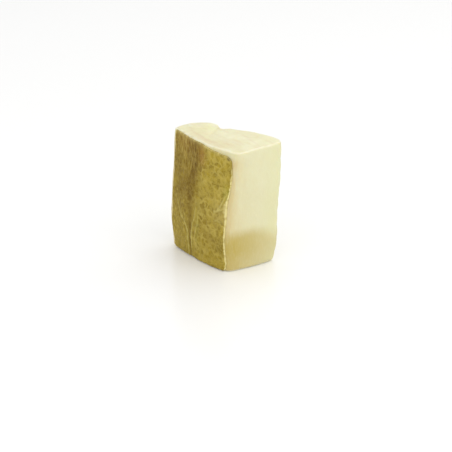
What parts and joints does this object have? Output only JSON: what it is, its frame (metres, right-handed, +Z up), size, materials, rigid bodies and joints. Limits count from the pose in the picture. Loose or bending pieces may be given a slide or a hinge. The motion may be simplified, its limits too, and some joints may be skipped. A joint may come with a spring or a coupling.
{
  "type": "block of salted dried cod",
  "caption": "Thick block cut across a loin of salted, dried cod: pale flesh with a groove between its muscles, and the brown-gold skin still on its flat side.",
  "frame": {"origin": "centre of the bounding box at the base, on the surface that the block stands on", "axes": "+Z up along the fish, -Y out of the skin, +X towards the thick edge of the loin"},
  "size_m": [0.06, 0.0398, 0.0751],
  "materials": {
    "flesh": "moist cream-coloured fish flesh with faint flake lines, satin, slightly translucent",
    "skin": "olive-gold cured fish skin, finely netted and wrinkled, darker along the lateral line, satin"
  },
  "bodies": {
    "root": {"flesh": "flesh", "skin": "skin"}
  },
  "joints": []
}
